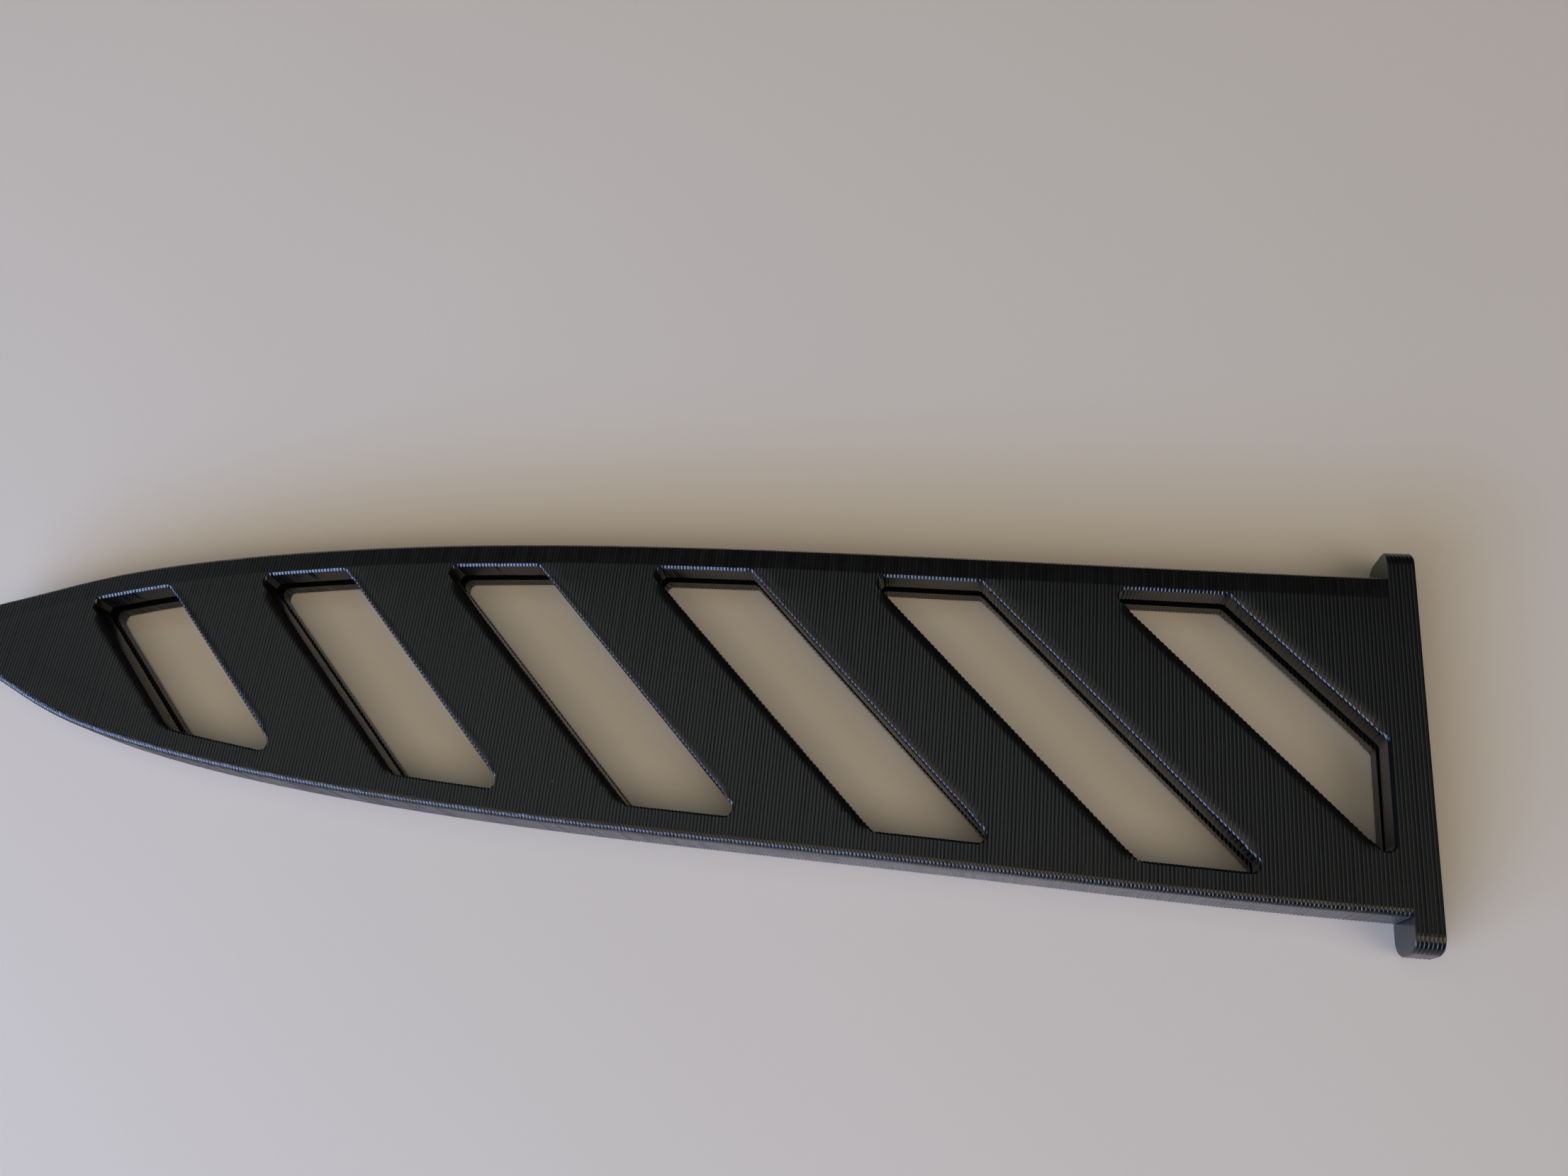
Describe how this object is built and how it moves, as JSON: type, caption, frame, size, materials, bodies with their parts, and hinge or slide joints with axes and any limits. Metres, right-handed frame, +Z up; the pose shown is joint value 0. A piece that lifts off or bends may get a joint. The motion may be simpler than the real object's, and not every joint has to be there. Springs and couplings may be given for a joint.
{
  "type": "knife blade guard",
  "caption": "Slim rigid sheath for a pointed kitchen knife: two plates joined at the rims, with a flat blade pocket, slanted see-through windows and a flanged mouth.",
  "frame": {"origin": "on the table that the guard lies on, halfway along its length and on the mouth's centre line", "axes": "+X along the length to the mouth, +Y to the side of the blade's spine, +Z up, square to the plates"},
  "size_m": [0.13, 0.032, 0.005],
  "materials": {
    "printed_plastic": "satin black, printed in fine layers"
  },
  "bodies": {
    "root": {"back_edge_rim": "printed_plastic", "back_mouth_bar": "printed_plastic", "back_mouth_gusset": "printed_plastic", "back_spine_rim": "printed_plastic", "back_strut_1": "printed_plastic", "back_strut_2": "printed_plastic", "back_strut_3": "printed_plastic", "back_strut_4": "printed_plastic", "back_strut_5": "printed_plastic", "back_tip_panel": "printed_plastic", "edge_wall": "printed_plastic", "flange_back_bar": "printed_plastic", "flange_edge_block": "printed_plastic", "flange_front_bar": "printed_plastic", "flange_spine_block": "printed_plastic", "front_edge_rim": "printed_plastic", "front_mouth_bar": "printed_plastic", "front_mouth_gusset": "printed_plastic", "front_spine_rim": "printed_plastic", "front_strut_1": "printed_plastic", "front_strut_2": "printed_plastic", "front_strut_3": "printed_plastic", "front_strut_4": "printed_plastic", "front_strut_5": "printed_plastic", "front_tip_panel": "printed_plastic", "spine_wall": "printed_plastic"}
  },
  "joints": []
}
